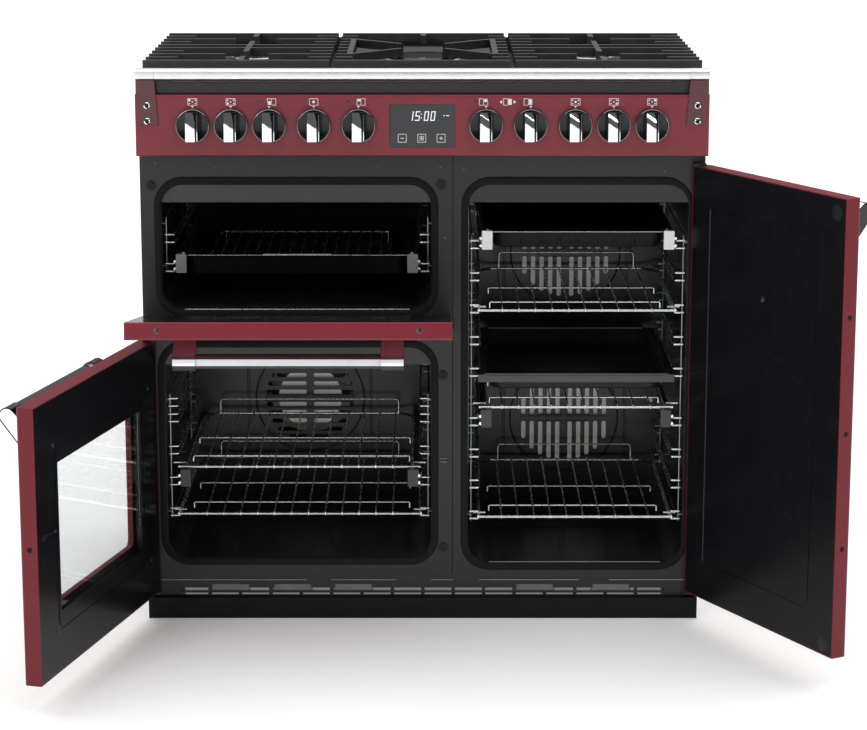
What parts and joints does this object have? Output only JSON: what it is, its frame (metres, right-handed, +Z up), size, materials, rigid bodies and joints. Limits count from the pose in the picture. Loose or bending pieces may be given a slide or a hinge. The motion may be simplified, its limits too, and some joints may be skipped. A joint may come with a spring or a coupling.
{
  "type": "freestanding range cooker",
  "caption": "Freestanding dual-column range cooker with gas hob, drop-down grill, windowed side-opening oven and tall side-opening oven, doors open.",
  "frame": {"origin": "centre of the footprint on the floor, midway between the control panel face and the rear panel", "axes": "+X to the right seen from the front, -Y out of the front, +Z up"},
  "size_m": [1.2884, 1.0438, 0.914],
  "materials": {
    "satin_black": "satin black enamel",
    "galvanised_steel": "bright zinc-plated steel",
    "black_enamel": "smooth black vitreous enamel",
    "red_enamel": "deep red gloss enamel",
    "mineral_wool": "fibrous mineral wool",
    "rope_seal": "woven glass-fibre rope seal",
    "element_steel": "heat-darkened steel",
    "chrome": "polished chrome",
    "clear_glass": "clear toughened glass",
    "dark_glass": "dark grey printed glass over a plastic clock housing",
    "black_plastic": "moulded black plastic",
    "gloss_black": "gloss black knob with a chrome grip and rim",
    "cast_iron": "satin black enamelled cast iron"
  },
  "bodies": {
    "chassis": {"plinth": "satin_black", "base_tray": "galvanised_steel", "cabinet_panels": "satin_black", "front_frame": "satin_black", "grill_liner": "black_enamel", "left_oven_liner": "black_enamel", "tall_oven_liner": "black_enamel", "insulation": "mineral_wool", "door_seals": "rope_seal", "fan_guards": "black_enamel", "fan_motors": "galvanised_steel", "heating_elements": "element_steel", "side_racks": "galvanised_steel", "door_hinges": "satin_black", "control_panel": "red_enamel", "display": "dark_glass", "gas_manifold": "galvanised_steel", "oven_switches": "black_plastic", "terminal_box": "black_plastic", "front_rail": "chrome", "hob_sheet": "black_enamel", "burner_heads": "galvanised_steel", "burner_caps": "black_enamel"},
    "feet": {"levelling_feet": "galvanised_steel"},
    "grill_door": {"grill_door_shell": "red_enamel", "grill_door_inner_panel": "black_enamel", "grill_door_handle": "chrome"},
    "left_door": {"left_door_shell": "red_enamel", "left_door_inner_panel": "black_enamel", "left_door_glass": "clear_glass", "left_door_handle": "chrome"},
    "right_door": {"right_door_shell": "red_enamel", "right_door_inner_panel": "black_enamel", "right_door_handle": "chrome"},
    "grill_pan_carriage": {"grill_pan_runners": "galvanised_steel", "grill_pan": "black_enamel", "grill_pan_rack": "galvanised_steel"},
    "left_upper_shelf": {"left_upper_shelf": "galvanised_steel"},
    "left_lower_shelf": {"left_lower_shelf": "galvanised_steel"},
    "tall_tray": {"tall_tray": "black_enamel"},
    "tall_upper_shelf": {"tall_upper_shelf": "galvanised_steel"},
    "roasting_tin": {"roasting_tin": "black_enamel"},
    "tall_middle_shelf": {"tall_middle_shelf": "galvanised_steel"},
    "tall_lower_shelf": {"tall_lower_shelf": "galvanised_steel"},
    "pan_support_left": {"pan_support_left": "cast_iron"},
    "pan_support_middle": {"pan_support_middle": "cast_iron"},
    "pan_support_right": {"pan_support_right": "cast_iron"},
    "fan_rotor_left": {"fan_rotor_left": "element_steel"},
    "fan_rotor_tall_lower": {"fan_rotor_tall_lower": "element_steel"},
    "fan_rotor_tall_upper": {"fan_rotor_tall_upper": "element_steel"},
    "gas_knob_1": {"gas_knob_1": "gloss_black"},
    "oven_knob_1": {"oven_knob_1": "gloss_black"},
    "gas_knob_2": {"gas_knob_2": "gloss_black"},
    "oven_knob_2": {"oven_knob_2": "gloss_black"},
    "gas_knob_3": {"gas_knob_3": "gloss_black"},
    "oven_knob_3": {"oven_knob_3": "gloss_black"},
    "gas_knob_4": {"gas_knob_4": "gloss_black"},
    "oven_knob_4": {"oven_knob_4": "gloss_black"},
    "gas_knob_5": {"gas_knob_5": "gloss_black"},
    "oven_knob_5": {"oven_knob_5": "gloss_black"}
  },
  "joints": [
    {"name": "grill_door_drop", "type": "hinge", "parent": "chassis", "child": "grill_door", "pos_m": [0, -0.29, 0.484], "axis": [1, 0, 0], "range_deg": [-80.7, 0]},
    {"name": "left_door_swing", "type": "hinge", "parent": "chassis", "child": "left_door", "pos_m": [-0.4395, -0.2725, 0.25], "axis": [0, 0, -1], "range_deg": [-105.1, 0]},
    {"name": "right_door_swing", "type": "hinge", "parent": "chassis", "child": "right_door", "pos_m": [0.4395, -0.2725, 0.39], "axis": [0, 0, 1], "range_deg": [-119, 0]},
    {"name": "grill_pan_slide", "type": "slide", "parent": "chassis", "child": "grill_pan_carriage", "axis": [0, -1, 0], "range_m": [0, 0.3]},
    {"name": "left_upper_shelf_slide", "type": "slide", "parent": "chassis", "child": "left_upper_shelf", "axis": [0, -1, 0], "range_m": [0, 0.3]},
    {"name": "left_lower_shelf_slide", "type": "slide", "parent": "chassis", "child": "left_lower_shelf", "axis": [0, -1, 0], "range_m": [0, 0.24]},
    {"name": "tall_tray_slide", "type": "slide", "parent": "chassis", "child": "tall_tray", "axis": [0, -1, 0], "range_m": [0, 0.3]},
    {"name": "tall_upper_shelf_slide", "type": "slide", "parent": "chassis", "child": "tall_upper_shelf", "axis": [0, -1, 0], "range_m": [0, 0.24]},
    {"name": "roasting_tin_slide", "type": "slide", "parent": "chassis", "child": "roasting_tin", "axis": [0, -1, 0], "range_m": [0, 0.24]},
    {"name": "tall_middle_shelf_slide", "type": "slide", "parent": "chassis", "child": "tall_middle_shelf", "axis": [0, -1, 0], "range_m": [0, 0.3]},
    {"name": "tall_lower_shelf_slide", "type": "slide", "parent": "chassis", "child": "tall_lower_shelf", "axis": [0, -1, 0], "range_m": [0, 0.24]},
    {"name": "pan_support_left_lift", "type": "slide", "parent": "chassis", "child": "pan_support_left", "axis": [0, 0, 1], "range_m": [0, 0.08]},
    {"name": "pan_support_middle_lift", "type": "slide", "parent": "chassis", "child": "pan_support_middle", "axis": [0, 0, 1], "range_m": [0, 0.08]},
    {"name": "pan_support_right_lift", "type": "slide", "parent": "chassis", "child": "pan_support_right", "axis": [0, 0, 1], "range_m": [0, 0.08]},
    {"name": "feet_level", "type": "slide", "parent": "chassis", "child": "feet", "axis": [0, 0, -1], "range_m": [0, 0.018]},
    {"name": "fan_left_spin", "type": "hinge", "parent": "chassis", "child": "fan_rotor_left", "pos_m": [-0.20125, 0.18, 0.2723], "axis": [0, 1, 0], "continuous": true},
    {"name": "fan_tall_lower_spin", "type": "hinge", "parent": "chassis", "child": "fan_rotor_tall_lower", "pos_m": [0.249, 0.18, 0.2364], "axis": [0, 1, 0], "continuous": true},
    {"name": "fan_tall_upper_spin", "type": "hinge", "parent": "chassis", "child": "fan_rotor_tall_upper", "pos_m": [0.249, 0.18, 0.534], "axis": [0, 1, 0], "continuous": true},
    {"name": "gas_knob_1_turn", "type": "hinge", "parent": "chassis", "child": "gas_knob_1", "pos_m": [-0.36, -0.31, 0.817], "axis": [0, -1, 0], "range_deg": [0, 210]},
    {"name": "oven_knob_1_turn", "type": "hinge", "parent": "chassis", "child": "oven_knob_1", "pos_m": [-0.24, -0.31, 0.817], "axis": [0, 1, 0], "range_deg": [0, 270]},
    {"name": "gas_knob_2_turn", "type": "hinge", "parent": "chassis", "child": "gas_knob_2", "pos_m": [-0.3, -0.31, 0.817], "axis": [0, -1, 0], "range_deg": [0, 210]},
    {"name": "oven_knob_2_turn", "type": "hinge", "parent": "chassis", "child": "oven_knob_2", "pos_m": [-0.17, -0.31, 0.817], "axis": [0, 1, 0], "range_deg": [0, 270]},
    {"name": "gas_knob_3_turn", "type": "hinge", "parent": "chassis", "child": "gas_knob_3", "pos_m": [0.24, -0.31, 0.817], "axis": [0, -1, 0], "range_deg": [0, 210]},
    {"name": "oven_knob_3_turn", "type": "hinge", "parent": "chassis", "child": "oven_knob_3", "pos_m": [-0.1, -0.31, 0.817], "axis": [0, 1, 0], "range_deg": [0, 270]},
    {"name": "gas_knob_4_turn", "type": "hinge", "parent": "chassis", "child": "gas_knob_4", "pos_m": [0.3, -0.31, 0.817], "axis": [0, -1, 0], "range_deg": [0, 210]},
    {"name": "oven_knob_4_turn", "type": "hinge", "parent": "chassis", "child": "oven_knob_4", "pos_m": [0.1, -0.31, 0.817], "axis": [0, 1, 0], "range_deg": [0, 270]},
    {"name": "gas_knob_5_turn", "type": "hinge", "parent": "chassis", "child": "gas_knob_5", "pos_m": [0.36, -0.31, 0.817], "axis": [0, -1, 0], "range_deg": [0, 210]},
    {"name": "oven_knob_5_turn", "type": "hinge", "parent": "chassis", "child": "oven_knob_5", "pos_m": [0.17, -0.31, 0.817], "axis": [0, 1, 0], "range_deg": [0, 270]}
  ]
}
